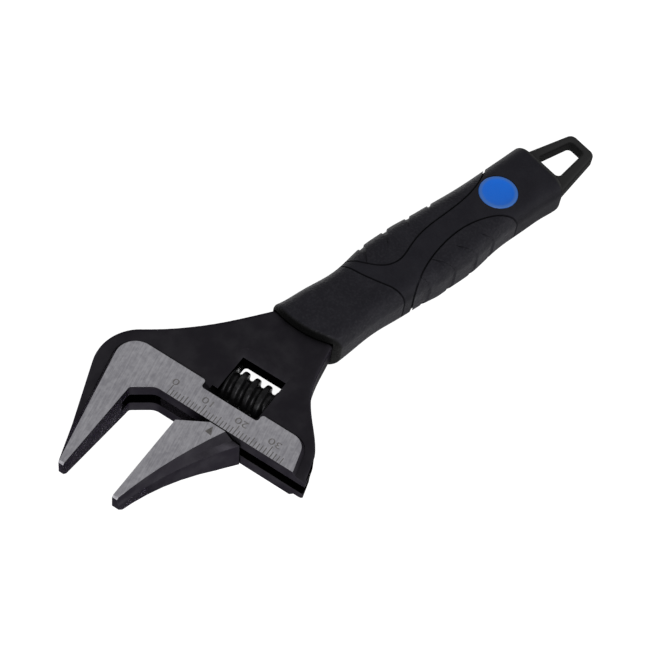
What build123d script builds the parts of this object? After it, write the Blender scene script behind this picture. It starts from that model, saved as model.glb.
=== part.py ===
from build123d import *
import os
from math import atan, cos, degrees, pi, radians, sin, tan

# Wide-jaw adjustable wrench, in millimetres and degrees.
# Head frame: x along the jaws from the head's front line, y along the jaw's travel from the fixed
# jaw's face. Plan frame: X along the handle towards the jaws. Both share the mid-plane z = 0.

# Jaws
JAW_ANGLE = 16
AXIS_CROSSING = 14.6
JAW_REACH = 31.2
OPENING = 14.74
JAW_TIP_THICKNESS = 6.2
JAW_TIP_WIDTH = 1.4
JAW_ROOT_X = 4.9
THROAT_REACH = 4.0
THROAT_RISE = 5.4
THROAT_FRONT_RADIUS = 4.0
THROAT_BACK_RADIUS = 1.2
JAW_GAP = 0.35

# Head forging
HEAD_THICKNESS = 11.6
HEAD_SPAN = 50.5
PAD_RAISE = 1.5
PAD_DRAFT = 35
PAD_BACK = 9.0
PAD_END_MARGIN = 3.9
PAD_END_SLOPE = 15
PAD_END_RADIUS = 4.0
PAD_OUTER_SLOPE = 12.5
PAD_HEEL_RADIUS = 5.5
PAD_NOTCH_LEAD = 3.4
PAD_NOTCH_TAIL = 0.8
PAD_CORNER_RADIUS = 0.8
TAPER_START = 5.0
TIP_CHAMFER = 0.5
TIP_TOE = 1.2
OUTER_SLOPE = 21.5
HEEL_START = 31.5
HEEL_RADIUS = 12.5
HEEL_TURN = 76
EDGE_ROUND = 1.4

# Shank and the tang that the handle hides
SHOULDER_BACK = 9.0
SHOULDER_DROP = 2.9
HIP_BACK = 22.0
HIP_DROP = 12.6
SHANK_LENGTH = 38.4
SHANK_WIDTH = 18.4
SHANK_LEAN = 1.45
FLARE_LENGTH = 22.9
FLARE_REACH = 15.2
TANG_WIDTH = 11.0
TANG_START = 52.0
TANG_END = 101.0

# Rail of the sliding jaw and its channel in the head
RAIL_RADIUS = 3.4
RAIL_SETBACK = 6.2
RAIL_LEAD = 7.8
RAIL_TAIL = 23.4
RAIL_CLEARANCE = 0.2
NECK_THICKNESS = 3.7
NECK_CLEARANCE = 0.15
NECK_TAIL = 13.6
CHANNEL_BOTTOM = 0.8
RELIEF_REACH = 7.0
RELIEF_DEPTH = 1.6
RAIL_CHAMFER = 0.4
RACK_TURNS = 12

# Sliding jaw's blade
BLADE_WIDTH = 12.1
BLADE_SAG = 1.1
BLADE_FOOT = 4.5
BLADE_DRAFT = 0.6
BLADE_STATIONS = 8
FOOT_CURVE = 2.5
RIDGE_DEPTH = 2.1
RIDGE_SHARE = 0.5
LEDGE_ROOT = 0.21
LEDGE_TIP = 0.5
FLUTE_STEP = 0.5
FLUTE_END = 0.75
BLADE_RELIEF = 7.4

# Worm, its axle screw and its spring
WORM_RADIUS = 5.5
WORM_LENGTH = 12.4
WORM_START = 18.05
WORM_PLAY = 0.25
WORM_PITCH = 3.4
WORM_PHASE = 0.75
THREAD_DEPTH = 1.8
THREAD_CREST = 1.0
THREAD_FLANK = 20
THREAD_EMBED = 0.25
THREAD_ROUND = 0.3
MESH_DEPTH = 1.0
MESH_CLEARANCE = 0.18
WINDOW_MARGIN = 1.9
WINDOW_BACK = 2.8
WINDOW_CORNER = 1.0
WINDOW_EASE = 1.9
AXLE_RADIUS = 1.5
AXLE_CLEARANCE = 0.06
AXLE_SEAT = 7.5
AXLE_HEAD_RADIUS = 2.0
AXLE_HEAD_HEIGHT = 2.0
AXLE_HEAD_SUNK = 1.4
AXLE_HEAD_EASE = 0.4
DRIVER_SLOT = 0.7
SPRING_WIRE = 0.5
SPRING_RADIUS = 2.1
SPRING_LENGTH = 4.0
SPRING_TURNS = 4
SPRING_POCKET_RADIUS = 2.6

# Handle
GRIP_FRONT = 36.3
GRIP_REAR = 125.2
FRONT_BOW = 10.5
GRIP_CORNER = 4.8
HANDLE_STEPS = 14
COLLAR_WIDTH = 21.2
COLLAR_THICKNESS = 14.8
WAIST_DISTANCE = 57.0
WAIST_WIDTH = 18.6
WAIST_THICKNESS = 13.6
PALM_DISTANCE = 79.5
PALM_SPREAD = 9.5
PALM_WIDTH = 21.6
PALM_EASE = 0.9
PALM_LEAN = 0.45
PALM_THICKNESS = 14.6
TAIL_DISTANCE = 104.0
TAIL_WIDTH = 18.8
TAIL_THICKNESS = 13.8
BUTT_WIDTH = 19.0
GRIP_EDGE = 1.2
SKIN = 1.8
SEAT_GAP = 0.06
GROOVE = 0.5
CURVE_STEPS = 16
LIP = 5.0
COLLAR_FAR = 57.5
COLLAR_MIDDLE = 61.5
COLLAR_NEAR = 64.3
COLLAR_BEND = 1.0
FAR_PAD = [(59.0, 14.0), (63.9, 4.8), (69.6, 0.1), (79.0, 2.2), (90.0, 3.6), (100.5, 4.5), (114.0, 11.0)]
NEAR_PAD = [(63.5, 14.5), (74.0, 7.2), (82.0, 4.4), (92.0, 3.2), (101.0, 5.0), (106.5, 8.6), (109.0, 13.0)]
FAR_RIB = 68.0
NEAR_RIB = 74.0
RIB_PITCH = 8.3
RIB_WIDTH = 2.6
RIB_DEPTH = 0.45
RIB_COUNT = 4
RIB_LEAN = 4.0
RIB_TIP_FRONT = 4.0
RIB_TIP_REAR = 7.0

# Tail: coloured disc and hanging loop
DISC_DISTANCE = 108.3
DISC_RADIUS = 5.5
DISC_THICKNESS = 1.2
DISC_PROUD = 0.1
DISC_EDGE = 0.3
LOOP_END = 142.5
LOOP_ROOT_WIDTH = 17.4
LOOP_TIP_WIDTH = 9.2
LOOP_SHIFT = 0.4
LOOP_THICKNESS = 4.6
LOOP_CORNER = 2.2
LOOP_EDGE = 1.1
LOOP_HOLE_START = 128.6
LOOP_HOLE_END = 140.2
LOOP_HOLE_ROOT_WIDTH = 8.4
LOOP_HOLE_TIP_WIDTH = 4.8
LOOP_HOLE_CORNER = 1.2

# Values that follow from the sizes above
angle = radians(JAW_ANGLE)
half_head = HEAD_THICKNESS / 2
web = HEAD_THICKNESS - 2 * PAD_RAISE
worm_x = -(RAIL_SETBACK + RAIL_RADIUS - MESH_DEPTH + WORM_RADIUS)
worm_end = WORM_START + WORM_LENGTH
window_front = worm_x + WORM_RADIUS + WINDOW_MARGIN
window_back = worm_x - WORM_RADIUS - WINDOW_BACK
window_start = WORM_START - WORM_PLAY
window_end = worm_end + WORM_PLAY
rail_start = OPENING - RAIL_LEAD
rail_end = OPENING + RAIL_TAIL
channel_radius = RAIL_RADIUS + RAIL_CLEARANCE
channel_start = rail_start - OPENING - CHANNEL_BOTTOM
slot = NECK_THICKNESS + 2 * NECK_CLEARANCE
root_radius = WORM_RADIUS - THREAD_DEPTH
axle_bore = AXLE_RADIUS + AXLE_CLEARANCE
axle_tip = window_start - AXLE_SEAT
lead_angle = degrees(atan(WORM_PITCH / (2 * pi * (WORM_RADIUS - MESH_DEPTH / 2))))
REACH = 200

HEAD = Plane(
    origin=(AXIS_CROSSING * sin(angle), -AXIS_CROSSING * cos(angle), 0),
    x_dir=(cos(angle), sin(angle), 0),
    z_dir=(0, 0, 1),
)


# Point of the head frame in the plan frame
def at_head(x, y):
    return HEAD.from_local_coords(Vector(x, y, 0))


# Direction of the head frame in the plan frame
def along_head(x, y):
    return at_head(x, y) - at_head(0, 0)


# Straight-sided block that fills a plan face between two heights
def prism(face, low, high):
    return extrude(Pos(0, 0, low) * face, amount=high - low, dir=(0, 0, 1))


# Block over a plan face that runs past the wrench above and below
def through(face):
    return prism(face, -REACH, REACH)


# Block in the head frame between two corners
def head_box(x0, x1, y0, y1, z0, z1):
    block = Box(x1 - x0, y1 - y0, z1 - z0)
    return HEAD.location * Pos((x0 + x1) / 2, (y0 + y1) / 2, (z0 + z1) / 2) * block


# Cylinder in the head frame with its axis along the jaw's travel
def travel_rod(x, radius, y0, y1):
    rod = Cylinder(radius, y1 - y0)
    return HEAD.location * Pos(x, (y0 + y1) / 2, 0) * Rot(-90, 0, 0) * rod


# Solid from a side profile of (x, z) points in the head frame, carried along the jaw's travel
def side_prism(points, y0, y1):
    corners = [at_head(x, y0) + Vector(0, 0, z) for x, z in points]
    face = make_face(Polyline(corners, close=True))
    return extrude(face, amount=y1 - y0, dir=along_head(0, 1))


# Plan face from corner points in the head frame, with named corners rounded
def head_face(points, rounds):
    face = make_face(Polyline([at_head(x, y) for x, y in points], close=True))
    for index, radius in rounds:
        corner = face.vertices().sort_by_distance(at_head(*points[index]))[0]
        face = fillet(corner, radius)
    return face


# Side profile that both jaws share: flat above, tapering below, bevelled at the tip
def jaw_profile(start):
    bottom = half_head - JAW_TIP_THICKNESS
    rise = (bottom + half_head) / (JAW_REACH - TAPER_START)
    return [
        (start, half_head),
        (JAW_REACH - TIP_CHAMFER, half_head),
        (JAW_REACH, half_head - TIP_CHAMFER),
        (JAW_REACH, bottom + TIP_TOE),
        (JAW_REACH - TIP_TOE, bottom - TIP_TOE * rise),
        (TAPER_START, -half_head),
        (start, -half_head),
    ]


# Curves of the forging's outline; grow widens the shank and tang for the handle's cavity
def forging_curves(grow=0):
    slope = radians(OUTER_SLOPE)
    half_tang = TANG_WIDTH / 2 + grow
    half_shank = SHANK_WIDTH / 2 + grow
    tang_end = TANG_END + grow
    tip = at_head(JAW_REACH, 0)
    tip_outer = at_head(JAW_REACH, -JAW_TIP_WIDTH)
    heel_start = at_head(
        JAW_REACH - HEEL_START * cos(slope), -JAW_TIP_WIDTH - HEEL_START * sin(slope)
    )
    outer = Line(tip_outer, heel_start)
    heel = JernArc(heel_start, outer % 1, HEEL_RADIUS, -HEEL_TURN)
    far = Spline(
        heel @ 1,
        (-FLARE_LENGTH, -FLARE_REACH - grow),
        (-SHANK_LENGTH + SHANK_LEAN, -half_shank),
        (-TANG_START, -half_tang),
        tangents=[heel % 1, (-1, 0)],
    )
    tang = Polyline(far @ 1, (-tang_end, -half_tang), (-tang_end, half_tang), (-TANG_START, half_tang))
    near = Spline(
        tang @ 1,
        (-SHANK_LENGTH - SHANK_LEAN, half_shank),
        at_head(-HIP_BACK, HEAD_SPAN - HIP_DROP + grow),
        at_head(-SHOULDER_BACK, HEAD_SPAN - SHOULDER_DROP + grow),
        at_head(0, HEAD_SPAN),
        tangents=[(1, 0), along_head(1, tan(radians(PAD_END_SLOPE)))],
    )
    mouth = FilletPolyline(
        near @ 1,
        at_head(0, THROAT_RISE),
        at_head(THROAT_REACH, 0),
        tip,
        radius=[THROAT_FRONT_RADIUS, THROAT_BACK_RADIUS],
    )
    rim = [outer, heel, far, near]
    return rim, [Line(tip, tip_outer), outer, heel, far, tang, near, mouth]


def outline_face(curves):
    return make_face(Wire.combine(curves, tol=1e-4)[0])


# Raised polished L of the head at its top height, run past the front and the jaw's faces
def pad_face():
    over = PAD_BACK
    outer = tan(radians(PAD_OUTER_SLOPE))
    end = tan(radians(PAD_END_SLOPE))
    notch_start = window_start - PAD_NOTCH_LEAD
    notch_end = window_end + PAD_NOTCH_TAIL
    end_y = HEAD_SPAN - PAD_END_MARGIN
    points = [
        (JAW_REACH + over, -JAW_TIP_WIDTH + over * outer),
        (-PAD_BACK, -JAW_TIP_WIDTH - (JAW_REACH + PAD_BACK) * outer),
        (-PAD_BACK, notch_start),
        (window_front, notch_start),
        (window_front, notch_end),
        (-PAD_BACK, notch_end),
        (-PAD_BACK, end_y - PAD_BACK * end),
        (over, end_y + over * end),
        (JAW_REACH + over, end_y + over * end),
    ]
    rounds = [(1, PAD_HEEL_RADIUS), (6, PAD_END_RADIUS)]
    rounds += [(index, PAD_CORNER_RADIUS) for index in range(2, 6)]
    return head_face(points, rounds)


# Where the axle's line leaves the forging's near side, in the head frame
def axle_exit(plate):
    line = plate & travel_rod(worm_x, DRIVER_SLOT, worm_end, REACH)
    return (HEAD.location.inverse() * line).bounding_box().max.Y


# Forged body: head with the fixed jaw, shank and tang in one piece
def forging():
    rim, curves = forging_curves()
    face = outline_face(curves)
    plate = prism(face, -web / 2, web / 2)
    seat = axle_exit(plate) - AXLE_HEAD_SUNK - AXLE_HEAD_HEIGHT
    edges = []
    for edge in plate.edges():
        middle = edge @ 0.5
        flat = Vector(middle.X, middle.Y, 0)
        on_rim = min(curve.distance_to(flat) for curve in rim) < SEAT_GAP
        if abs(abs(middle.Z) - web / 2) < SEAT_GAP and on_rim:
            edges.append(edge)
    body = fillet(edges, EDGE_ROUND)
    drafted = extrude(
        Pos(0, 0, half_head) * pad_face(), amount=2 * PAD_RAISE, dir=(0, 0, -1), taper=-PAD_DRAFT
    )
    pad = drafted & prism(face, 0, half_head)
    body += pad
    body += mirror(pad, about=Plane.XY)

    window = RectangleRounded(window_front - window_back, window_end - window_start, WINDOW_CORNER)
    window_middle = Pos((window_front + window_back) / 2, (window_start + window_end) / 2, 0)
    window_face = HEAD.location * window_middle * window
    body -= prism(window_face, -REACH, REACH)
    ease = extrude(Pos(0, 0, web / 2 - WINDOW_EASE) * window_face, amount=WINDOW_EASE, taper=-45)
    ease &= head_box(-REACH, window_front, -REACH, window_end, 0, REACH)
    body -= ease
    body -= mirror(ease, about=Plane.XY)

    body -= travel_rod(-RAIL_SETBACK, channel_radius, channel_start, REACH)
    body -= head_box(-RAIL_SETBACK, NECK_CLEARANCE, channel_start, REACH, -slot / 2, slot / 2)
    body -= head_box(-RAIL_SETBACK, RELIEF_REACH, -RELIEF_DEPTH, THROAT_RISE, -slot / 2, slot / 2)
    body -= travel_rod(worm_x, axle_bore, axle_tip - SEAT_GAP, REACH)
    body -= travel_rod(worm_x, AXLE_HEAD_RADIUS + AXLE_CLEARANCE, seat, REACH)

    jaw_block = head_box(TAPER_START, REACH, -REACH, OPENING, -REACH, REACH)
    body -= jaw_block - side_prism(jaw_profile(0), -REACH, REACH)
    return body, seat


# Outer side of the sliding jaw's blade at a share of its reach, as a closed (y, z) section
def blade_section(share):
    over = PAD_RAISE
    rest = (1 - share) ** FOOT_CURVE
    top = BLADE_WIDTH + (JAW_TIP_WIDTH - BLADE_WIDTH) * share - 4 * BLADE_SAG * share * (1 - share)
    foot = BLADE_DRAFT + BLADE_FOOT * rest
    height = HEAD_THICKNESS + (JAW_TIP_THICKNESS - HEAD_THICKNESS) * share
    ledge = foot - FLUTE_STEP * max(0, 1 - share / FLUTE_END)
    ledge_depth = height * (LEDGE_TIP + (LEDGE_ROOT - LEDGE_TIP) * rest)
    ridge = RIDGE_SHARE * ledge
    upper_slope = ridge / RIDGE_DEPTH
    lower_slope = (foot - ledge) / (height - ledge_depth)
    points = [
        (-over, half_head + over),
        (top - over * upper_slope, half_head + over),
        (top + ridge, half_head - RIDGE_DEPTH),
        (top + ledge, half_head - ledge_depth),
        (top + foot + over * lower_slope, half_head - height - over),
        (-over, half_head - height - over),
    ]
    x = share * (JAW_REACH + SEAT_GAP)
    corners = [at_head(x, OPENING + y) + Vector(0, 0, z) for y, z in points]
    return make_face(Polyline(corners, close=True))


# Groove of the rack that clears one turn of the worm's thread
def rack_groove(y):
    flank = tan(radians(THREAD_FLANK))
    bottom = worm_x + WORM_RADIUS + MESH_CLEARANCE
    mouth = -(RAIL_SETBACK + RAIL_RADIUS + MESH_DEPTH)
    half_bottom = THREAD_CREST / 2 + MESH_CLEARANCE * (1 - flank)
    half_mouth = half_bottom + (bottom - mouth) * flank
    points = [(bottom, -half_bottom), (mouth, -half_mouth), (mouth, half_mouth), (bottom, half_bottom)]
    bar = extrude(make_face(Polyline(points, close=True)), amount=RAIL_RADIUS, both=True)
    return HEAD.location * Pos(0, y, 0) * Rot(lead_angle, 0, 0) * bar


# Sliding jaw: blade, neck in the head's slot, and rail with the rack on its back
def sliding_jaw():
    steps = BLADE_STATIONS - 1
    outer = loft([blade_section(step / steps) for step in range(BLADE_STATIONS)], ruled=True)
    blade = side_prism(jaw_profile(JAW_GAP), OPENING, REACH) & outer
    run = JAW_ROOT_X - JAW_GAP
    relief = head_face(
        [
            (JAW_ROOT_X + run, OPENING - BLADE_RELIEF),
            (JAW_GAP - run, OPENING + 2 * BLADE_RELIEF),
            (JAW_GAP - run, OPENING - BLADE_RELIEF),
        ],
        [],
    )
    blade -= prism(relief, -REACH, REACH)
    half_neck = NECK_THICKNESS / 2
    neck_tail = OPENING + NECK_TAIL
    rail = travel_rod(-RAIL_SETBACK, RAIL_RADIUS, rail_start, rail_end)
    rail = chamfer(rail.edges().filter_by(GeomType.CIRCLE), RAIL_CHAMFER)
    first = WORM_START + WORM_PHASE
    for turn in range(-RACK_TURNS, RACK_TURNS + 1):
        y = first + turn * WORM_PITCH
        if rail_start < y < rail_end:
            rail -= rack_groove(y)
    neck_front = JAW_GAP + half_neck
    root = OPENING + BLADE_RELIEF
    jaw = blade + head_box(-RAIL_SETBACK, neck_front, root, OPENING + BLADE_WIDTH, -half_neck, half_neck)
    jaw += head_box(-RAIL_SETBACK, 0, rail_start, neck_tail, -half_neck, half_neck)
    return jaw + rail


# Coil of wire or thread: a section swept along a right-hand helix that starts on the x axis
def coil(section, pitch, height, radius):
    path = Helix(pitch, height, radius)
    plane = Plane(origin=path @ 0, x_dir=(1, 0, 0), z_dir=path % 0)
    return sweep(plane * section, path=path, is_frenet=True)


# Places a piece built along its own z axis on the worm's axis
def on_worm_axis(piece, y):
    return HEAD.location * Pos(worm_x, y, 0) * Rot(-90, 0, 0) * piece


# Adjusting worm with its thread, bored for the axle and pocketed for the spring
def adjusting_worm():
    half_base = THREAD_CREST / 2 + (THREAD_DEPTH + THREAD_EMBED) * tan(radians(THREAD_FLANK))
    section = make_face(
        Polyline(
            (-THREAD_EMBED, -half_base),
            (THREAD_DEPTH, -THREAD_CREST / 2),
            (THREAD_DEPTH, THREAD_CREST / 2),
            (-THREAD_EMBED, half_base),
            close=True,
        )
    )
    section = fillet(section.vertices().sort_by(Axis.X)[-2:], THREAD_ROUND)
    turns = coil(section, WORM_PITCH, WORM_LENGTH + 2 * WORM_PITCH, root_radius)
    thread = Pos(0, 0, WORM_PHASE - WORM_PITCH) * turns
    base = (Align.CENTER, Align.CENTER, Align.MIN)
    worm = Cylinder(root_radius, 4 * WORM_LENGTH) + thread
    worm &= Cylinder(2 * WORM_RADIUS, WORM_LENGTH, align=base)
    worm -= Cylinder(axle_bore, WORM_LENGTH, align=base)
    worm -= Cylinder(SPRING_POCKET_RADIUS, SPRING_LENGTH, align=base)
    return on_worm_axis(worm, WORM_START)


# Slotted axle screw that the worm turns on
def axle_screw(seat):
    head_end = seat + AXLE_HEAD_HEIGHT
    axle = travel_rod(worm_x, AXLE_RADIUS, axle_tip, seat + SEAT_GAP)
    head = travel_rod(worm_x, AXLE_HEAD_RADIUS, seat + SEAT_GAP, head_end)
    head = chamfer(head.edges().group_by(Axis((0, 0, 0), along_head(0, 1)))[-1], AXLE_HEAD_EASE)
    half_slot = DRIVER_SLOT / 2
    driver = head_box(-REACH, REACH, head_end - DRIVER_SLOT, REACH, -half_slot, half_slot)
    return axle + head - driver


# Coil spring that takes up the worm's end play
def worm_spring():
    length = SPRING_LENGTH + WORM_PLAY - 2 * SEAT_GAP - SPRING_WIRE
    spring = coil(Circle(SPRING_WIRE / 2), length / SPRING_TURNS, length, SPRING_RADIUS)
    return on_worm_axis(spring, window_start + SEAT_GAP + SPRING_WIRE / 2)


# Sizes of the handle at its named stations: distance, width, thickness and centre
def handle_stations():
    stations = [
        (GRIP_FRONT - LIP, COLLAR_WIDTH, COLLAR_THICKNESS, 0),
        (WAIST_DISTANCE, WAIST_WIDTH, WAIST_THICKNESS, 0),
    ]
    for side in (-1, 0, 1):
        distance = PALM_DISTANCE + side * PALM_SPREAD
        width = PALM_WIDTH - abs(side) * PALM_EASE
        stations.append((distance, width, PALM_THICKNESS, side * PALM_LEAN))
    stations.append((TAIL_DISTANCE, TAIL_WIDTH, TAIL_THICKNESS, 0))
    stations.append((GRIP_REAR, BUTT_WIDTH, TAIL_THICKNESS, 0))
    return stations


# Width, thickness and centre of the handle at any distance, eased from station to station
def handle_size(distance):
    stations = handle_stations()
    before, after = stations[0], stations[1]
    for pair in zip(stations, stations[1:]):
        if pair[0][0] <= distance:
            before, after = pair
    share = (distance - before[0]) / (after[0] - before[0])
    eased = share * share * (3 - 2 * share)
    return [low + (high - low) * eased for low, high in zip(before[1:], after[1:])]


# Handle's full outer shape, or the same shape taken in by an inset
def handle_shape(inset):
    start = GRIP_FRONT - LIP
    sections = []
    for step in range(HANDLE_STEPS + 1):
        distance = start + (GRIP_REAR - start) * step / HANDLE_STEPS
        width, thickness, centre = handle_size(distance)
        plane = Plane(origin=(-distance, centre, 0), x_dir=(0, 1, 0), z_dir=(-1, 0, 0))
        section = RectangleRounded(width - 2 * inset, thickness - 2 * inset, GRIP_CORNER - inset)
        sections.append(plane * section)
    return loft(sections)


# Plan face of everything behind the handle's slanting, bowed front edge
def front_region():
    middle = Vector(-GRIP_FRONT / cos(angle), 0)
    far = middle + along_head(-FRONT_BOW, -PALM_WIDTH)
    near = middle + along_head(-FRONT_BOW, PALM_WIDTH)
    arc = ThreePointArc(far, middle, near)
    back = Vector(-REACH, 0)
    return arc, make_face([arc, Polyline(near, near + back, far + back, far)])


# Slab of the handle behind a slanting plane, from one depth to another
def front_slab(depth, end):
    return head_box(-GRIP_FRONT - end, -GRIP_FRONT - depth, -REACH, REACH, -REACH, REACH)


# Smooth curve moved to its left by an amount
def shifted(curve, amount):
    points = []
    for step in range(CURVE_STEPS + 1):
        along = curve % (step / CURVE_STEPS)
        points.append(curve @ (step / CURVE_STEPS) + Vector(-along.Y, along.X) * amount)
    return Spline(points)


# Plan face of a side pad between its groove line and beyond the handle's side, grown by the groove
def side_region(points, side, grow):
    curve = shifted(Spline([(-distance, side * y) for distance, y in points]), side * grow)
    start = curve @ 0
    end = curve @ 1
    beyond = side * PALM_WIDTH
    return make_face([curve, Polyline(end, (end.X, beyond), (start.X, beyond), start)])


# Plan face of the soft collar, from its rear groove line forward, grown by the groove
def collar_region(grow):
    line = Spline(
        (-COLLAR_FAR, -PALM_WIDTH),
        (-COLLAR_FAR - COLLAR_BEND, -WAIST_WIDTH / 2),
        (-COLLAR_MIDDLE, 0),
        (-COLLAR_NEAR, WAIST_WIDTH / 3),
        (-COLLAR_NEAR + COLLAR_BEND, PALM_WIDTH),
    )
    curve = shifted(line, grow)
    start = curve @ 0
    end = curve @ 1
    return make_face([curve, Polyline(end, (0, end.Y), (0, start.Y), start)])


# Pointed shallow recesses along a side pad, as plan faces
def rib_regions(side, first):
    regions = []
    for rib in range(RIB_COUNT):
        distance = first + rib * RIB_PITCH
        tip_y = RIB_TIP_FRONT + (RIB_TIP_REAR - RIB_TIP_FRONT) * rib / (RIB_COUNT - 1)
        points = [
            (-distance + RIB_LEAN, side * tip_y),
            (-distance - RIB_WIDTH / 2, side * PALM_WIDTH / 2),
            (-distance - RIB_WIDTH / 2, side * PALM_WIDTH),
            (-distance + RIB_WIDTH / 2, side * PALM_WIDTH),
            (-distance + RIB_WIDTH / 2, side * PALM_WIDTH / 2),
        ]
        regions.append(make_face(Polyline(points, close=True)))
    return Sketch() + regions


# Plate with tapering sides behind the handle, from its root to its rounded tip
def tail_plate(start, end, root_width, tip_width, corner):
    points = [
        (-start, -root_width / 2),
        (-end, -tip_width / 2),
        (-end, tip_width / 2),
        (-start, root_width / 2),
    ]
    face = make_face(Polyline(points, close=True))
    return fillet(face.vertices().sort_by(Axis.X)[:2], corner)


# Hanging loop with rounded edges, rooted inside the handle's tail
def hanging_loop():
    root = GRIP_REAR - SKIN
    hole = tail_plate(
        LOOP_HOLE_START, LOOP_HOLE_END, LOOP_HOLE_ROOT_WIDTH, LOOP_HOLE_TIP_WIDTH, LOOP_HOLE_CORNER
    )
    hole = fillet(hole.vertices().sort_by(Axis.X)[-2:], LOOP_HOLE_CORNER)
    plate = tail_plate(root, LOOP_END, LOOP_ROOT_WIDTH, LOOP_TIP_WIDTH, LOOP_CORNER)
    plate = Pos(0, LOOP_SHIFT) * plate - hole
    loop = prism(plate, -LOOP_THICKNESS / 2, LOOP_THICKNESS / 2)
    edges = loop.edges().filter_by(Plane.XY)
    return fillet(edges, LOOP_EDGE)


# Handle's pieces: hard core with the loop, soft collar, two soft side pads, coloured disc
def handle(cavity):
    front, behind = front_region()
    whole = handle_shape(0) & through(behind)
    ends = []
    for edge in whole.edges():
        middle = edge @ 0.5
        at_front = front.distance_to(Vector(middle.X, middle.Y, 0)) < SEAT_GAP
        if at_front or abs(middle.X + GRIP_REAR) < SEAT_GAP:
            ends.append(edge)
    whole = fillet(ends, GRIP_EDGE)
    inside = handle_shape(SKIN)
    below_ribs = handle_shape(RIB_DEPTH)
    seat = handle_shape(SKIN + SEAT_GAP) & front_slab(LIP + SEAT_GAP, GRIP_REAR - GRIP_FRONT - 2 * LIP)

    collar = through(collar_region(0)) & whole
    collar -= inside & front_slab(LIP, REACH)
    pieces = {"front_collar": collar - cavity}
    core_plan = Pos(-GRIP_REAR, 0) * Rectangle(2 * GRIP_REAR, 2 * PALM_WIDTH) - collar_region(GROOVE)
    soft_sides = {"far_side_pad": (FAR_PAD, FAR_RIB, -1), "near_side_pad": (NEAR_PAD, NEAR_RIB, 1)}
    for name, (groove_line, first_rib, side) in soft_sides.items():
        pad = through(side_region(groove_line, side, 0)) & whole
        pad -= inside
        pieces[name] = pad - (through(rib_regions(side, first_rib)) - below_ribs)
        core_plan -= side_region(groove_line, side, GROOVE)

    core = through(core_plan) & whole
    core += seat
    core -= cavity
    core += hanging_loop()
    disc_base = TAIL_THICKNESS / 2 + DISC_PROUD - DISC_THICKNESS
    base = (Align.CENTER, Align.CENTER, Align.MIN)
    at_disc = Pos(-DISC_DISTANCE, 0, disc_base)
    pieces["handle_core"] = core - at_disc * Pos(0, 0, -SEAT_GAP) * Cylinder(
        DISC_RADIUS + SEAT_GAP, REACH, align=base
    )
    disc = Cylinder(DISC_RADIUS, DISC_THICKNESS, align=base)
    pieces["tail_disc"] = at_disc * fillet(disc.edges().sort_by(Axis.Z)[-1], DISC_EDGE)
    return pieces


body, screw_seat = forging()
cavity_face = outline_face(forging_curves(SEAT_GAP)[1])
cavity = prism(cavity_face, -web / 2 - SEAT_GAP, web / 2 + SEAT_GAP)
pieces = {
    "wrench_body": body,
    "sliding_jaw": sliding_jaw(),
    "adjusting_worm": adjusting_worm(),
    "axle_screw": axle_screw(screw_seat),
    "worm_spring": worm_spring(),
}
pieces.update(handle(cavity))

# Put the origin under the middle of the whole wrench and write one file per piece
boxes = [piece.bounding_box() for piece in pieces.values()]
middle_x = (min(box.min.X for box in boxes) + max(box.max.X for box in boxes)) / 2
middle_y = (min(box.min.Y for box in boxes) + max(box.max.Y for box in boxes)) / 2
shift = Pos(-middle_x, -middle_y, -min(box.min.Z for box in boxes))
os.makedirs("parts", exist_ok=True)
for name, piece in pieces.items():
    export_step(shift * piece, f"parts/{name}.step")
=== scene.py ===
import math
import bmesh
import bpy
from mathutils import Euler, Matrix, Vector


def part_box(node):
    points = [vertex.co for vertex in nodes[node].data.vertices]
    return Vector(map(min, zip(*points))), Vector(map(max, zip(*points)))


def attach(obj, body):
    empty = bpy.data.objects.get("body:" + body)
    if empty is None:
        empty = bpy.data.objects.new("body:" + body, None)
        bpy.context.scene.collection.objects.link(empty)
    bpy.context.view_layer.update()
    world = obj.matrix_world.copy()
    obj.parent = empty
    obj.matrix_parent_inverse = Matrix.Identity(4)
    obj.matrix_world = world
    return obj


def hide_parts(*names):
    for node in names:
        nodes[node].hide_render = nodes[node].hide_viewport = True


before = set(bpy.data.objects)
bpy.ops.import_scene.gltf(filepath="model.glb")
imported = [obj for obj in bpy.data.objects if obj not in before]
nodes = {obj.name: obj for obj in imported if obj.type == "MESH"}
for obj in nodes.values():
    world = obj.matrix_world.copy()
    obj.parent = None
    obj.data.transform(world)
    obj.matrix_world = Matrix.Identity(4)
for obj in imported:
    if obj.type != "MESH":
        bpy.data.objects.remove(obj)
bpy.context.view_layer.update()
mm = 0.001
print("frame loaded:", ", ".join(sorted(nodes)))


class Wire:  # one socket of a finish, so that shader sums read as sums
    def __init__(self, finish, socket):
        self.finish = finish
        self.socket = socket

    def calc(self, operation, *others):
        inputs = dict(enumerate((self, *others)))
        return self.finish.add("ShaderNodeMath", {"operation": operation}, inputs)["Value"]

    def __add__(self, other):
        return self.calc("ADD", other)

    def __radd__(self, other):
        return self.calc("ADD", other)

    def __sub__(self, other):
        return self.calc("SUBTRACT", other)

    def __rsub__(self, other):
        return (self * -1.0).calc("ADD", other)

    def __mul__(self, other):
        return self.calc("MULTIPLY", other)

    def __rmul__(self, other):
        return self.calc("MULTIPLY", other)

    def __gt__(self, other):
        return self.calc("GREATER_THAN", other)

    def __lt__(self, other):
        return self.calc("LESS_THAN", other)


# edges of the steel pieces, softened in the shading, worn, and painted lighter as a painted edge
# highlight
softEdge = {
    "samples": 6,
    "wear": (0.03, 0.2),  # bend of the normal where the edge mask starts, and where it is full
}


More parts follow.
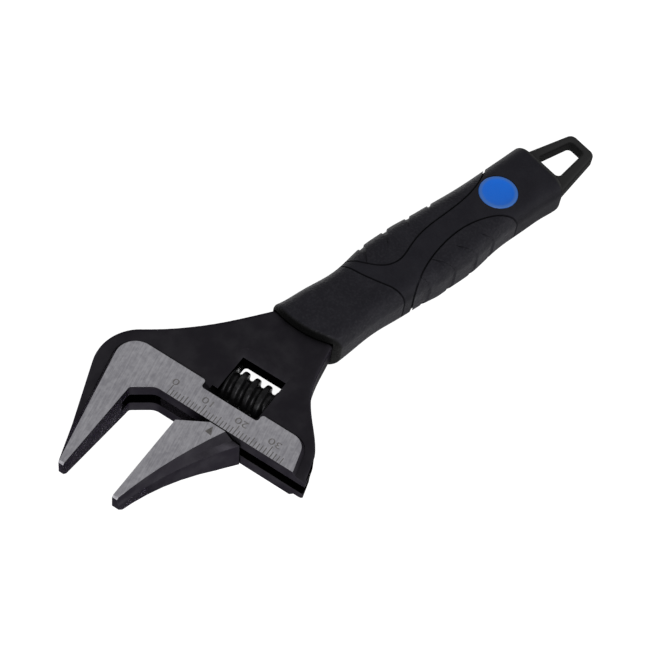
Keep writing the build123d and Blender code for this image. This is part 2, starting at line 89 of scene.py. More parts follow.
class Finish:  # one material and its Principled shader
    def __init__(self, name):
        self.material = bpy.data.materials.new(name)
        self.material.use_nodes = True
        self.tree = self.material.node_tree
        self.shader = self.tree.nodes["Principled BSDF"]

    def plug(self, socket, value):
        if isinstance(value, Wire):
            self.tree.links.new(value.socket, socket)
        else:
            socket.default_value = value

    def add(self, kind, settings=None, inputs=None):
        node = self.tree.nodes.new(kind)
        for key, value in (settings or {}).items():
            setattr(node, key, value)
        for key, value in (inputs or {}).items():
            self.plug(node.inputs[key], value)
        return {out.name: Wire(self, out) for out in node.outputs if out.enabled}

    def set(self, **sockets):
        for key, value in sockets.items():
            self.plug(self.shader.inputs[key.replace("_", " ")], value)
        return self

    def spot(self):
        return self.add("ShaderNodeTexCoord")["Object"]

    def parts(self, vector):
        return self.add("ShaderNodeSeparateXYZ", inputs={"Vector": vector})

    def dot(self, first, second):
        settings = {"operation": "DOT_PRODUCT"}
        return self.add("ShaderNodeVectorMath", settings, {0: first, 1: second})["Value"]

    def noise(self, vector, scale, detail, rough):
        inputs = {"Vector": vector, "Scale": scale, "Detail": detail, "Roughness": rough}
        return self.add("ShaderNodeTexNoise", inputs=inputs)["Fac"]

    def cells(self, vector, scale):
        inputs = {"Vector": vector, "Scale": scale}
        return self.add("ShaderNodeTexVoronoi", {"feature": "SMOOTH_F1"}, inputs)["Distance"]

    def stretch(self, vector, scale, turn):
        inputs = {"Vector": vector, "Scale": [1 / s for s in scale], "Rotation": (0.0, 0.0, turn)}
        return self.add("ShaderNodeMapping", {"vector_type": "TEXTURE"}, inputs)["Vector"]

    def rise(self, value, low, high):  # 0 below low, 1 above high
        inputs = {"Value": value, "From Min": low, "From Max": high}
        return self.add("ShaderNodeMapRange", {"interpolation_type": "SMOOTHSTEP"}, inputs)["Result"]

    def blend(self, factor, first, second):
        inputs = {0: factor, 6: first, 7: second}
        return self.add("ShaderNodeMix", {"data_type": "RGBA"}, inputs)["Result"]

    def headPlace(self, vector, row):  # x or y along the head, in metres
        across = headFrame.inverted()
        return self.dot(vector, tuple(across.to_3x3()[row])) + across.translation[row]

    def pastFront(self, vector):  # distance ahead of the handle's front edge
        parts = self.parts(vector)
        x = parts["X"] - planOrigin.x - gripFront["centre"][0] * mm
        y = parts["Y"] - planOrigin.y - gripFront["centre"][1] * mm
        return (x * x + y * y).calc("SQRT") - gripFront["radius"] * mm

    def softNormal(self, radius):
        settings = {"samples": softEdge["samples"]}
        return self.add("ShaderNodeBevel", settings, {"Radius": radius})["Normal"]

    def wornEdge(self, soft):  # 1 on edges, where the softened normal leaves the true one
        true = self.add("ShaderNodeNewGeometry")["True Normal"]
        return self.rise(1 - self.dot(soft, true), *softEdge["wear"])

    def bump(self, height, strength, depth, normal=None):
        inputs = {"Height": height, "Strength": strength, "Distance": depth}
        if normal:
            inputs["Normal"] = normal
        return self.add("ShaderNodeBump", inputs=inputs)["Normal"]


def dress(name, finish):
    data = nodes[name].data
    data.materials.clear()
    data.materials.append(finish.material)


# place of the head in the frame, in millimetres: x along the jaws, y along the jaw's travel
head = {
    "turn": math.radians(16),
    "axisCrossing": 14.6,
    "discDistance": 108.3,
    "discBase": 5.8,
    "halfThickness": 5.8,
}
discLow, discHigh = [Vector(corner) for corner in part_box("tail_disc")]
discMiddle = (discLow + discHigh) / 2
planOrigin = Vector((discMiddle.x, discMiddle.y, discLow.z))
planOrigin += Vector((head["discDistance"], 0.0, -head["discBase"])) * mm
headFrame = (
    Matrix.Translation(planOrigin)
    @ Matrix.Rotation(head["turn"], 4, "Z")
    @ Matrix.Translation((0.0, -head["axisCrossing"] * mm, 0.0))
)


def atHead(x, y, z):
    return headFrame @ (Vector((x, y, z)) * mm)


# slanting bowed front edge of the handle, an arc in the plan
gripFront = {
    "centre": (-64.17, -7.57),
    "radius": 27.47,
    "ahead": -50.0,  # along the head's x, keeps the tail out of it
}


def addPiece(name, mesh, finish, body):
    piece = bpy.data.objects.new(name, mesh)
    bpy.context.scene.collection.objects.link(piece)
    mesh.materials.append(finish.material)
    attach(piece, body)
    return piece


def meshOf(name, form, sharp=40):  # closed mesh, smooth but for edges sharper than the angle
    bmesh.ops.recalc_face_normals(form, faces=form.faces)
    mesh = bpy.data.meshes.new(name)
    form.to_mesh(mesh)
    form.free()
    mesh.shade_smooth()
    mesh.set_sharp_from_angle(angle=math.radians(sharp))
    return mesh


def ringsTo(form, rings, closed=False):  # skin of quads from ring to ring
    count = len(rings[0])
    pairs = list(zip(rings, rings[1:]))
    if closed:
        pairs.append((rings[-1], rings[0]))
    for first, second in pairs:
        for i in range(count):
            after = (i + 1) % count
            form.faces.new((first[i], first[after], second[after], second[i]))


# steel of the head and the sliding jaw: black oxide, with painted shade in the hollows
blackSteel = {
    "base": (0.0355, 0.0325, 0.040, 1.0),
    "pale": (0.056, 0.053, 0.061, 1.0),
    "edge": (0.115, 0.112, 0.120, 1.0),
    # painted shade tones: near black in the window, channel, slot and lip wall
    "paintedShade": (0.003, 0.003, 0.003, 1.0),
    "railShade": (0.013, 0.012, 0.014, 1.0),
    "edgeTint": (0.30, 0.30, 0.30, 1.0),
    "rough": 0.47,
    "roughSpread": 0.2,
    "edgeRadius": 0.00016,
    "edgeWearAndGlint": 0.25,
    "edgeScuff": 0.6,
    # noises: scale, detail, roughness, and the range that counts
    "cloud": (140.0, 4.0, 0.6),
    "cloudRange": (0.35, 0.75),
    "scuff": (620.0, 5.0, 0.7),
    "scuffRange": (0.52, 0.74),
    "scuffGloss": 0.06,
    "pits": (2400.0, 3.0, 0.6),
    "pitBump": (0.12, 0.00006),  # strength, depth in metres
    # boxes of the head's frame that get painted shade, in millimetres: x, y, half height
    "window": ((-22.45, -6.6), (15.7, 31.0), 4.3),
    "channel": ((-10.0, -0.15), (-5.0, 50.0), 3.7),
    "slot": ((-10.0, 5.2), (-5.0, 8.0), 2.06),
    "rail": ((-12.0, 0.05), (-5.0, 60.0), 3.7),
    "lipWall": ((-25.0, -6.0), (15.0, 31.5), 4.22),
    "fade": 0.06,
    "gripShadowLine": (0.1, 0.5),  # painted shadow line ahead of the handle's front
}


def within(finish, spot, box):  # 1 inside a box of the head's frame
    across, along, half = box
    x = finish.headPlace(spot, 0)
    y = finish.headPlace(spot, 1)
    depth = (finish.parts(spot)["Z"] - planOrigin.z).calc("ABSOLUTE")
    inside = (x > across[0] * mm) * (x < across[1] * mm) * (y > along[0] * mm) * (y < along[1] * mm)
    return inside * (1 - finish.rise(depth, (half - blackSteel["fade"]) * mm, half * mm))


def blackFinish(name, *boxes):
    finish = Finish(name)
    spot = finish.spot()
    soft = finish.softNormal(blackSteel["edgeRadius"])
    cloud = finish.noise(spot, *blackSteel["cloud"])
    pits = finish.noise(spot, *blackSteel["pits"])
    scuff = finish.rise(finish.noise(spot, *blackSteel["scuff"]), *blackSteel["scuffRange"])
    pale = finish.rise(cloud, *blackSteel["cloudRange"])
    black = finish.blend(pale, blackSteel["base"], blackSteel["pale"])
    # edges lighter: real wear, and partly a painted highlight along them
    wear = finish.wornEdge(soft) * (blackSteel["edgeWearAndGlint"] + blackSteel["edgeScuff"] * scuff)
    black = finish.blend(wear, black, blackSteel["edge"])
    for box, tone in boxes:
        black = finish.blend(within(finish, spot, blackSteel[box]), black, blackSteel[tone])
    # painted shadow on the steel just ahead of the handle's front edge
    lineFrom, lineTo = blackSteel["gripShadowLine"]
    frontShadow = 1 - finish.rise(finish.pastFront(spot), lineFrom * mm, lineTo * mm)
    rough = blackSteel["rough"] + (cloud - 0.5) * blackSteel["roughSpread"]
    finish.set(
        Base_Color=finish.blend(frontShadow, black, blackSteel["paintedShade"]),
        Roughness=rough - scuff * blackSteel["scuffGloss"],
        Metallic=1.0,
        Normal=finish.bump(pits, *blackSteel["pitBump"], soft),
        Specular_Tint=blackSteel["edgeTint"],
    )
    return finish


# painted shade inside the window, the channel and the slot
headBoxes = [("window", "paintedShade"), ("channel", "paintedShade"), ("slot", "paintedShade")]
dress("wrench_body", blackFinish("headSteel", *headBoxes))
# painted shade on the rail where it sits in the slot
dress("sliding_jaw", blackFinish("jawSteel", ("rail", "railShade")))

# lip of the web over the window's eased edges, at its rear and at the end by the fixed jaw
lip = {
    "rear": -24.3,
    "front": -9.6,
    "end": 15.9,
    "far": 30.7,
    "levels": [  # height, rear edge, edge at the end
        (4.29, -21.12, 17.48),
        (4.2, -21.0, 17.6),
        (3.7, -21.0, 17.6),
        (2.35, -22.5, 17.7),
    ],
}
lipForm = bmesh.new()
lipRings = []
for z, rearEdge, endEdge in lip["levels"]:
    outline = [
        (lip["rear"], lip["end"]),
        (lip["rear"], lip["far"]),
        (rearEdge, lip["far"]),
        (rearEdge, endEdge),
        (lip["front"], endEdge),
        (lip["front"], lip["end"]),
    ]
    lipRings.append([lipForm.verts.new(atHead(x, y, z)) for x, y in outline])
ringsTo(lipForm, lipRings)
lipForm.faces.new(lipRings[0])
lipForm.faces.new(lipRings[-1])
# painted shade on the lip's upright wall inside the window
lipSteel = blackFinish("lipSteel", ("lipWall", "paintedShade"))
addPiece("windowLip", meshOf("windowLip", lipForm), lipSteel, "wrench")

# ground flats: the faces of the jaws and the scale that are bare of black, a hair proud
flats = {
    "skin": 0.3,  # depth of the faces taken, in millimetres
    "tipSkin": 0.6,
    "tipFrom": 27.0,
    "level": 0.9,  # least rise of their normals
    "tipLevel": 0.6,
    "proud": 0.008,
    "weld": 0.001,
    "sharp": 30,
    "bright": (0.75, 0.74, 0.785, 1.0),
    "dull": (0.49, 0.48, 0.525, 1.0),
    # painted highlight: flats lighter along their edges
    "edge": (0.86, 0.86, 0.88, 1.0),
    "edgeShare": 0.7,
    "edgeGloss": 0.1,
    "edgeRadius": 0.00016,
    "rough": 0.36,
    "roughSpread": 0.3,
    "grainTurn": math.radians(26),
    "grain": (150.0, 2300.0, 150.0),
    # noises: scale, detail, roughness, and the share each has in the tone
    "lines": (1.0, 5.0, 0.62),
    "linesShare": 0.45,
    "cloud": (140.0, 4.0, 0.6),
    "cloudShare": 0.2,
    "blotch": (750.0, 3.0, 0.6),
    "blotchShare": 0.35,
    "toneRange": (0.36, 0.64),
    "lineBump": (0.3, 0.00002),
}
brightSteel = Finish("brightSteel")
flatSpot = brightSteel.spot()
flatSoft = brightSteel.softNormal(flats["edgeRadius"])
flatGlintEdge = brightSteel.wornEdge(flatSoft)
grain = brightSteel.stretch(flatSpot, flats["grain"], flats["grainTurn"])
flatLines = brightSteel.noise(grain, *flats["lines"])
flatCloud = brightSteel.noise(flatSpot, *flats["cloud"])
flatBlotch = brightSteel.noise(flatSpot, *flats["blotch"])
flatMix = flatLines * flats["linesShare"] + flatCloud * flats["cloudShare"]
flatMix = flatMix + flatBlotch * flats["blotchShare"]
flatTone = brightSteel.rise(flatMix, *flats["toneRange"])
flatColour = brightSteel.blend(flatTone, flats["dull"], flats["bright"])
flatRough = flats["rough"] + (flatLines - 0.5) * flats["roughSpread"]
brightSteel.set(
    # painted highlight along the flats' edges
    Base_Color=brightSteel.blend(flatGlintEdge * flats["edgeShare"], flatColour, flats["edge"]),
    Roughness=flatRough - flatGlintEdge * flats["edgeGloss"],
    Metallic=1.0,
    Normal=brightSteel.bump(flatLines, *flats["lineBump"], flatSoft),
)


def addFlats(name, node, body):
    form = bmesh.new()
    form.from_mesh(nodes[node].data)
    bmesh.ops.remove_doubles(form, verts=form.verts, dist=flats["weld"] * mm)
    form.normal_update()
    spare = []
    for face in form.faces:
        middle = face.calc_center_median()
        atTip = (headFrame.inverted() @ middle).x > flats["tipFrom"] * mm
        skin = flats["tipSkin"] if atTip else flats["skin"]
        level = flats["tipLevel"] if atTip else flats["level"]
        height = abs(middle.z - planOrigin.z) / mm
        if height < head["halfThickness"] - skin or abs(face.normal.z) < level:
            spare.append(face)
    bmesh.ops.delete(form, geom=spare, context="FACES")
    lifted = bmesh.ops.extrude_face_region(form, geom=form.faces[:])["geom"]
    for item in lifted:
        if isinstance(item, bmesh.types.BMVert):
            item.co.z += math.copysign(flats["proud"] * mm, item.co.z - planOrigin.z)
    addPiece(name, meshOf(name, form, flats["sharp"]), brightSteel, body)


addFlats("headFlats", "wrench_body", "wrench")
addFlats("jawFlats", "sliding_jaw", "jaw")
print("head and jaw dressed")

# worm, axle screw and spring: turned steel, blacked
turned = {
    "dark": (0.020, 0.0195, 0.021, 1.0),
    "rubbed": (0.075, 0.075, 0.078, 1.0),
    "wire": (0.10, 0.10, 0.105, 1.0),
    "wireRubbed": (0.22, 0.22, 0.225, 1.0),
    "rough": 0.34,
    "screwRough": 0.44,
    "roughSpread": 0.25,
    "metal": 0.75,
    "gloss": 0.2,
    "edgeRadius": 0.00014,
    "edgeShare": 0.35,
    "wear": (420.0, 5.0, 0.6),
    "wearRange": (0.45, 0.8),
    "fine": (3600.0, 2.0, 0.5),
    "fineBump": (0.2, 0.00004),
}


def turnedFinish(name, dark, rubbed, rough):
    finish = Finish(name)
    spot = finish.spot()
    soft = finish.softNormal(turned["edgeRadius"])
    wear = finish.noise(spot, *turned["wear"])
    fine = finish.noise(spot, *turned["fine"])
    edge = finish.wornEdge(soft) * turned["edgeShare"]
    rub = (finish.rise(wear, *turned["wearRange"]) + edge).calc("MINIMUM", 1.0)
    finish.set(
        Base_Color=finish.blend(rub, dark, rubbed),
        Roughness=rough + (wear - 0.5) * turned["roughSpread"],
        Metallic=turned["metal"],
        Normal=finish.bump(fine, *turned["fineBump"], soft),
        Specular_IOR_Level=turned["gloss"],
    )
    return finish


# worm with full rounded turns, which clear the rack's teeth on the rail
worm = {
    "axis": -14.1,
    "start": 18.05,
    "length": 12.4,
    "pitch": 3.4,
    "phase": 0.75,
    "turnProfile": [  # distance from the crest along the axis, radius
        (0.0, 5.5), (0.35, 5.48), (0.56, 5.42), (0.67, 5.31), (0.74, 5.18), (0.8, 5.02),
        (0.88, 4.8), (0.95, 4.6), (1.0, 4.45), (1.15, 4.28), (1.4, 4.08), (1.7, 4.0),
    ],
    "bore": 1.56,
    "pocket": 2.6,
    "pocketDepth": 4.0,
    "ease": 0.45,
    "sides": 120,
    "rings": 124,
}


def turnRadius(offset):  # radius at a distance from the crest, along the axis
    profile = worm["turnProfile"]
    for (nearU, nearR), (farU, farR) in zip(profile, profile[1:]):
        if offset <= farU:
            return nearR + (farR - nearR) * (offset - nearU) / (farU - nearU)
    return profile[-1][1]


def threadRadius(y, share):  # radius at a place along the worm and a share of the way round it
    toEnd = min(y, worm["length"] - y)
    limit = worm["turnProfile"][0][1] - max(0.0, worm["ease"] - toEnd)
    turns = (y - worm["phase"]) / worm["pitch"] - share
    return min(limit, turnRadius(abs(turns - round(turns)) * worm["pitch"]))


def wormRing(form, y, radii):
    ring = []
    for side, radius in enumerate(radii):
        turn = 2 * math.pi * side / len(radii)
        x = worm["axis"] + radius * math.cos(turn)
        ring.append(form.verts.new(atHead(x, worm["start"] + y, -radius * math.sin(turn))))
    return ring


wormForm = bmesh.new()
wormRings = []
shares = [side / worm["sides"] for side in range(worm["sides"])]
for step in range(worm["rings"] + 1):
    y = worm["length"] * step / worm["rings"]
    wormRings.append(wormRing(wormForm, y, [threadRadius(y, share) for share in shares]))
boreSteps = [  # back through the bore and the spring's pocket
    (worm["length"], worm["bore"]),
    (worm["pocketDepth"], worm["bore"]),
    (worm["pocketDepth"], worm["pocket"]),
    (0.0, worm["pocket"]),
]
for y, radius in boreSteps:
    wormRings.append(wormRing(wormForm, y, [radius] * worm["sides"]))
ringsTo(wormForm, wormRings, closed=True)
wormSteel = turnedFinish("wormSteel", turned["dark"], turned["rubbed"], turned["rough"])
wormTurns = addPiece("wormTurns", meshOf("wormTurns", wormForm), wormSteel, "worm")
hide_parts("adjusting_worm")
dress("axle_screw", turnedFinish("screwSteel", turned["dark"], turned["rubbed"], turned["screwRough"]))
dress("worm_spring", turnedFinish("springSteel", turned["wire"], turned["wireRubbed"], turned["rough"]))
print("worm dressed")

# handle: soft collar and side pads, and the hard core
rubber = {
    "base": (0.0148, 0.0141, 0.0190, 1.0),
    "dusty": (0.0215, 0.0208, 0.0268, 1.0),
    "speck": (0.0400, 0.0390, 0.0460, 1.0),
    "speckle": 1500.0,
    "speckShare": 0.3,
    "rough": 0.42,
    "stipple": 1700.0,
    "depth": 0.00026,
    "gloss": 0.14,
    "sheen": 0.02,
    "wallShade": 0.15,
    "wallDull": 0.3,
}
plastic = {
    "base": (0.0156, 0.0149, 0.0202, 1.0),
    "dusty": (0.0215, 0.0208, 0.0268, 1.0),
    "speck": (0.0310, 0.0300, 0.0360, 1.0),
    "speckle": 1900.0,
    "speckShare": 0.2,
    "rough": 0.45,
    "stipple": 3000.0,
    "depth": 0.00009,
    "gloss": 0.12,
    "sheen": 0.01,
    "wallShade": 0.35,
    "wallDull": 0.35,
}
# what the two mouldings share
moulding = {
    # painted shade colour for the front rim and the upright walls
    "paintedShadeTone": (0.002, 0.002, 0.002, 1.0),
    "frontRange": (-0.9, -0.1),  # painted shade on the rim of the front edge, in millimetres
    "wallRange": (0.3, 0.8),  # rise of the normal over which an upright wall ends
    "dust": (190.0, 5.0, 0.6),
    "dustRange": (0.3, 0.8),
    "speckNoise": (2.0, 0.5),
    "speckRange": (0.45, 0.68),
    "skinScale": 0.6,
    "skinNoise": (3.0, 0.6),
    "dotShare": 0.6,
    "skinShare": 0.6,
    "bump": 0.6,
    "roughSpread": 0.3,
    "sheenRough": 0.4,
}
# the loop behind the tail is paler and duller, and painted shade darkens its upright walls
loop = {
    "tone": (0.037, 0.037, 0.036, 1.0),
    "toneShare": 0.8,
    "from": 123.9,
    "full": 124.3,
    "wallShade": 0.4,
    "dull": 0.3,
}


def mouldedFinish(name, look):
    finish = Finish(name)
    spot = finish.spot()
    dust = finish.rise(finish.noise(spot, *moulding["dust"]), *moulding["dustRange"])
    dots = finish.cells(spot, look["stipple"])
    skin = finish.noise(spot, look["stipple"] * moulding["skinScale"], *moulding["skinNoise"])
    specks = finish.noise(spot, look["speckle"], *moulding["speckNoise"])
    specks = finish.rise(specks, *moulding["speckRange"]) * look["speckShare"]
    colour = finish.blend(dust, look["base"], look["dusty"])
    colour = finish.blend(specks, colour, look["speck"])
    # painted shade: darker rim at the handle's front edge and darker upright walls
    rimFrom, rimTo = moulding["frontRange"]
    ahead = finish.headPlace(spot, 0) > gripFront["ahead"] * mm
    front = ahead * finish.rise(finish.pastFront(spot), rimFrom * mm, rimTo * mm)
    behind = planOrigin.x - finish.parts(spot)["X"]
    atLoop = finish.rise(behind, loop["from"] * mm, loop["full"] * mm)
    colour = finish.blend(atLoop * loop["toneShare"], colour, loop["tone"])
    facing = finish.parts(finish.add("ShaderNodeNewGeometry")["True Normal"])["Z"]
    wall = 1 - finish.rise(facing.calc("ABSOLUTE"), *moulding["wallRange"])
    shade = front.calc("MAXIMUM", wall * (look["wallShade"] + atLoop * loop["wallShade"]))
    dull = wall * look["wallDull"] + atLoop * loop["dull"]
    stipple = dots * moulding["dotShare"] + skin * moulding["skinShare"]
    finish.set(
        Base_Color=finish.blend(shade, colour, moulding["paintedShadeTone"]),
        Roughness=look["rough"] + (skin - 0.5) * moulding["roughSpread"] + dull,
        Normal=finish.bump(stipple, moulding["bump"], look["depth"]),
        Specular_IOR_Level=look["gloss"],
        Sheen_Weight=look["sheen"],
        Sheen_Roughness=moulding["sheenRough"],
    )
    return finish


softRubber = mouldedFinish("softRubber", rubber)
for name in ("front_collar", "far_side_pad", "near_side_pad"):
    dress(name, softRubber)
hardPlastic = mouldedFinish("hardPlastic", plastic)
dress("handle_core", hardPlastic)

# bed under the soft pads, seen only at the bottom of the grooves
bed = {
    "front": 52.0,
    "rear": 116.0,
    "steps": 40,
    "stations": [  # distance behind the head, width, thickness, offset of the middle
        (31.3, 21.2, 14.8, 0.0),
        (57.0, 18.6, 13.6, 0.0),
        (70.0, 20.7, 14.6, -0.45),
        (79.5, 21.6, 14.6, 0.0),
        (89.0, 20.7, 14.6, 0.45),
        (104.0, 18.8, 13.8, 0.0),
        (125.2, 19.0, 13.8, 0.0),
    ],
    "sideInset": 0.6,
    "topInset": 1.3,
    "corner": 3.0,
    "cornerSteps": 6,
}


def handleSize(distance):
    for before, after in zip(bed["stations"], bed["stations"][1:]):
        if distance <= after[0]:
            break
    share = (distance - before[0]) / (after[0] - before[0])
    eased = share * share * (3 - 2 * share)  # smooth step
    return [low + (high - low) * eased for low, high in zip(before[1:], after[1:])]


bedForm = bmesh.new()
bedRings = []
for step in range(bed["steps"] + 1):
    distance = bed["front"] + (bed["rear"] - bed["front"]) * step / bed["steps"]
    width, thickness, offset = handleSize(distance)
    halfWidth = width / 2 - bed["sideInset"] - bed["corner"]
    halfHeight = thickness / 2 - bed["topInset"] - bed["corner"]
    ring = []
    for quarter, (sideY, sideZ) in enumerate([(1, 1), (-1, 1), (-1, -1), (1, -1)]):
        for part in range(bed["cornerSteps"] + 1):
            turn = math.pi / 2 * (quarter + part / bed["cornerSteps"])
            y = offset + sideY * halfWidth + bed["corner"] * math.cos(turn)
            z = sideZ * halfHeight + bed["corner"] * math.sin(turn)
            ring.append(bedForm.verts.new(planOrigin + Vector((-distance, y, z)) * mm))
    bedRings.append(ring)
ringsTo(bedForm, bedRings)
bedForm.faces.new(bedRings[0])
bedForm.faces.new(bedRings[-1])
addPiece("gripBed", meshOf("gripBed", bedForm), hardPlastic, "wrench")
print("handle dressed")

# blue disc of the tail, dished inside a raised rim
disc = {
    "blue": (0.008, 0.210, 0.97, 1.0),
    "deep": (0.006, 0.170, 0.86, 1.0),
    # painted reflection: paler, greyer blue on the raised rim
    "rim": (0.075, 0.215, 0.62, 1.0),
    "rimRange": (4.1, 4.9),
    "rimShare": 0.8,
    "rough": 0.32,
    "roughSpread": 0.2,
    "gloss": 0.35,
    "cloud": (260.0, 4.0, 0.55),
    "skin": (2400.0, 2.0, 0.55),
    "skinBump": (0.12, 0.00003),
    "profile": [  # radius, height from the top
        (0.0, -0.62), (1.5, -0.58), (2.8, -0.46), (3.6, -0.32), (4.1, -0.16), (4.45, -0.03),
        (4.8, 0.0), (5.15, -0.04), (5.38, -0.16), (5.5, -0.36),
    ],
    "sides": 96,
}
discBlue = Finish("discBlue")
discSpot = discBlue.spot()
discCloud = discBlue.noise(discSpot, *disc["cloud"])
discSkin = discBlue.noise(discSpot, *disc["skin"])
discX = discBlue.parts(discSpot)["X"] - discMiddle.x
discY = discBlue.parts(discSpot)["Y"] - discMiddle.y
discOut = (discX * discX + discY * discY).calc("SQRT")
discRimReflection = discBlue.rise(discOut, *[radius * mm for radius in disc["rimRange"]])
discColour = discBlue.blend(discCloud, disc["deep"], disc["blue"])
discBlue.set(
    # painted reflection on the rim
    Base_Color=discBlue.blend(discRimReflection * disc["rimShare"], discColour, disc["rim"]),
    Roughness=disc["rough"] + (discCloud - 0.5) * disc["roughSpread"],
    Normal=discBlue.bump(discSkin, *disc["skinBump"]),
    Specular_IOR_Level=disc["gloss"],
)

discForm = bmesh.new()
discRings = []
discTop = Vector((discMiddle.x, discMiddle.y, discHigh.z))
discFoot = (disc["profile"][-1][0], (discLow.z - discHigh.z) / mm)
for radius, drop in disc["profile"][1:] + [discFoot]:
    ring = []
    for side in range(disc["sides"]):
        turn = 2 * math.pi * side / disc["sides"]
        out = Vector((radius * math.cos(turn), radius * math.sin(turn), drop))
        ring.append(discForm.verts.new(discTop + out * mm))
    discRings.append(ring)
ringsTo(discForm, discRings)
discForm.faces.new(discRings[-1])
crown = discForm.verts.new(discTop + Vector((0.0, 0.0, disc["profile"][0][1])) * mm)
for i, corner in enumerate(discRings[0]):
    discForm.faces.new((crown, corner, discRings[0][(i + 1) % disc["sides"]]))
discCap = addPiece("discCap", meshOf("discCap", discForm), discBlue, "wrench")
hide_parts("tail_disc")
print("disc made")

# millimetre scale etched on the flat, and the pointer on the sliding jaw
scale = {
    "zero": 8.6,
    "count": 34,
    "lengths": {10: 3.05, 5: 2.45, 1: 1.9},  # by the step that a tick falls on
    "width": 0.23,
    "front": -0.04,
    "sunk": 0.03,
    "proud": 0.022,
    "numberStep": 10,
    "numberTop": -3.2,
    "numberHeight": 1.8,
    "numberStretch": 1.5,
    "pointer": [(0.9, 23.4), (3.2, 22.5), (3.4, 24.5)],
    "ink": (0.135, 0.128, 0.124, 1.0),
    "inkPale": (0.24, 0.23, 0.225, 1.0),
    "numberInk": (0.19, 0.18, 0.18, 1.0),
    "numberPale": (0.31, 0.30, 0.30, 1.0),
    "rough": 0.55,
    "roughSpread": 0.2,
    "metal": 0.5,
    "cloud": (1400.0, 4.0, 0.6),
    "cloudRange": (0.35, 0.7),
    "fine": (5200.0, 2.0, 0.55),
    "fineBump": (0.2, 0.00002),
    "weld": 0.001,
}


def etchedFinish(name, ink, inkPale):
    finish = Finish(name)
    spot = finish.spot()
    cloud = finish.noise(spot, *scale["cloud"])
    fine = finish.noise(spot, *scale["fine"])
    finish.set(
        Base_Color=finish.blend(finish.rise(cloud, *scale["cloudRange"]), ink, inkPale),
        Roughness=scale["rough"] + (cloud - 0.5) * scale["roughSpread"],
        Metallic=scale["metal"],
        Normal=finish.bump(fine, *scale["fineBump"]),
    )
    return finish


etched = etchedFinish("etchedMarks", scale["ink"], scale["inkPale"])
etchedPale = etchedFinish("etchedNumbers", scale["numberInk"], scale["numberPale"])


def addSlab(form, corners):  # thin slab over head-frame corners, sunk a little into the flat
    low = head["halfThickness"] - scale["sunk"]
    high = head["halfThickness"] + scale["proud"]
    under = [form.verts.new(atHead(x, y, low)) for x, y in corners]
    over = [form.verts.new(atHead(x, y, high)) for x, y in corners]
    form.faces.new(over)
    form.faces.new(list(reversed(under)))
    for i in range(len(corners)):
        after = (i + 1) % len(corners)
        form.faces.new((under[i], under[after], over[after], over[i]))


ticks = bmesh.new()
for value in range(scale["count"] + 1):
    length = max(long for step, long in scale["lengths"].items() if value % step == 0)
    first = scale["zero"] + value - scale["width"] / 2
    last = first + scale["width"]
    addSlab(ticks, [(-length, first), (scale["front"], first), (scale["front"], last), (-length, last)])
addPiece("scaleTicks", meshOf("scaleTicks", ticks), etched, "wrench")

pointer = bmesh.new()
addSlab(pointer, scale["pointer"])
addPiece("jawPointer", meshOf("jawPointer", pointer), etched, "jaw")

# numbers stand with their tops towards the jaws' tips and read towards the fixed jaw
numbers = bmesh.new()
for value in range(0, scale["count"], scale["numberStep"]):
    letters = bpy.data.curves.new("scaleNumber", "FONT")
    letters.body = str(value)
    letters.align_x = "CENTER"
    letters.extrude = scale["proud"]  # only parts top from bottom, heights are set below
    writer = bpy.data.objects.new("scaleNumber", letters)
    bpy.context.scene.collection.objects.link(writer)
    ready = bpy.context.evaluated_depsgraph_get()
    mesh = bpy.data.meshes.new_from_object(writer.evaluated_get(ready))
    bpy.data.objects.remove(writer)
    low = min(v.co.y for v in mesh.vertices)
    size = scale["numberHeight"] / (max(v.co.y for v in mesh.vertices) - low)
    for v in mesh.vertices:
        x = scale["numberTop"] - scale["numberHeight"] + (v.co.y - low) * size
        y = scale["zero"] + value - v.co.x * size * scale["numberStretch"]
        lift = scale["proud"] if v.co.z > 0 else -scale["sunk"]
        v.co = atHead(x, y, head["halfThickness"] + lift)
    numbers.from_mesh(mesh)
    bpy.data.meshes.remove(mesh)
bmesh.ops.remove_doubles(numbers, verts=numbers.verts, dist=scale["weld"] * mm)
addPiece("scaleNumbers", meshOf("scaleNumbers", numbers), etchedPale, "wrench")
print("scale etched")

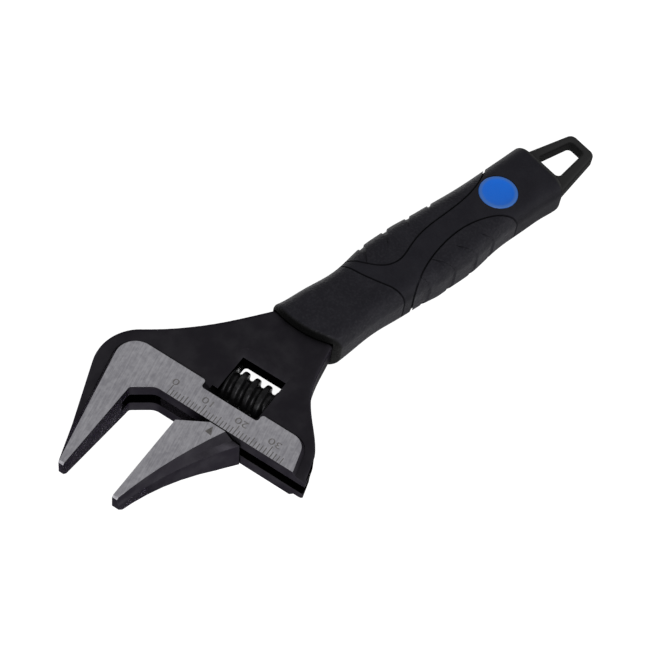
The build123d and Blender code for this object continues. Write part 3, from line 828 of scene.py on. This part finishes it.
# camera at the photograph's viewing angle
view = {
    "place": (169.255, 186.977, 437.815),  # from the plan's origin, in millimetres
    "turn": (32.6417, -5.3383, 139.1223),
    "focal": 2000.0,  # in pixels, as is the frame's width
    "frameWidth": 650.0,
    "sensor": 36.0,
    "clip": (0.01, 10.0),
}
lensData = bpy.data.cameras.new("viewCamera")
lensData.sensor_fit = "HORIZONTAL"
lensData.sensor_width = view["sensor"]
lensData.lens = view["sensor"] * view["focal"] / view["frameWidth"]
lensData.clip_start, lensData.clip_end = view["clip"]
camera = bpy.data.objects.new("viewCamera", lensData)
camera.location = planOrigin + Vector(view["place"]) * mm
camera.rotation_euler = Euler([math.radians(a) for a in view["turn"]])
bpy.context.scene.collection.objects.link(camera)
bpy.context.scene.camera = camera

# white paper floor and soft studio light
studio = {
    "floorSize": 4.0,
    "paper": (0.30, 0.30, 0.30, 1.0),
    "paperPale": (0.34, 0.34, 0.34, 1.0),
    "paperNoise": (30.0, 2.0, 0.55),
    "paperRough": 0.9,
    "glow": 0.94,
    "world": (1.0, 1.0, 1.0, 1.0),
    "worldStrength": 0.35,
    "lamps": [  # name, place in metres, size, power in watts
        ("keyPanel", (0.35, 0.55, 0.75), 0.7, 3.2),
        ("sidePanel", (-0.33, 0.87, 0.37), 0.14, 0.55),
        ("tipPanel", (0.9, 0.0, 0.42), 0.35, 0.2),
    ],
}
reach = studio["floorSize"] / 2
floorMesh = bpy.data.meshes.new("studioFloor")
floorCorners = [(-reach, -reach, 0), (reach, -reach, 0), (reach, reach, 0), (-reach, reach, 0)]
floorMesh.from_pydata(floorCorners, [], [(0, 1, 2, 3)])
floor = bpy.data.objects.new("studioFloor", floorMesh)
bpy.context.scene.collection.objects.link(floor)
floorPaper = Finish("floorPaper")
paper = floorPaper.noise(floorPaper.spot(), *studio["paperNoise"])
floorPaper.set(
    Base_Color=floorPaper.blend(paper, studio["paper"], studio["paperPale"]),
    Roughness=studio["paperRough"],
    Emission_Color=studio["world"],
    Emission_Strength=studio["glow"],
)
floorMesh.materials.append(floorPaper.material)

for name, place, size, power in studio["lamps"]:
    lampData = bpy.data.lights.new(name, "AREA")
    lampData.shape = "DISK"
    lampData.size = size
    lampData.energy = power
    lamp = bpy.data.objects.new(name, lampData)
    lamp.location = place
    lamp.rotation_euler = (-Vector(place)).to_track_quat("-Z", "Y").to_euler()
    bpy.context.scene.collection.objects.link(lamp)

world = bpy.data.worlds.new("studioWorld")
world.use_nodes = True
backdrop = world.node_tree.nodes["Background"]
backdrop.inputs["Color"].default_value = studio["world"]
backdrop.inputs["Strength"].default_value = studio["worldStrength"]
bpy.context.scene.world = world
bpy.context.scene.view_settings.view_transform = "Standard"
print("studio lit")
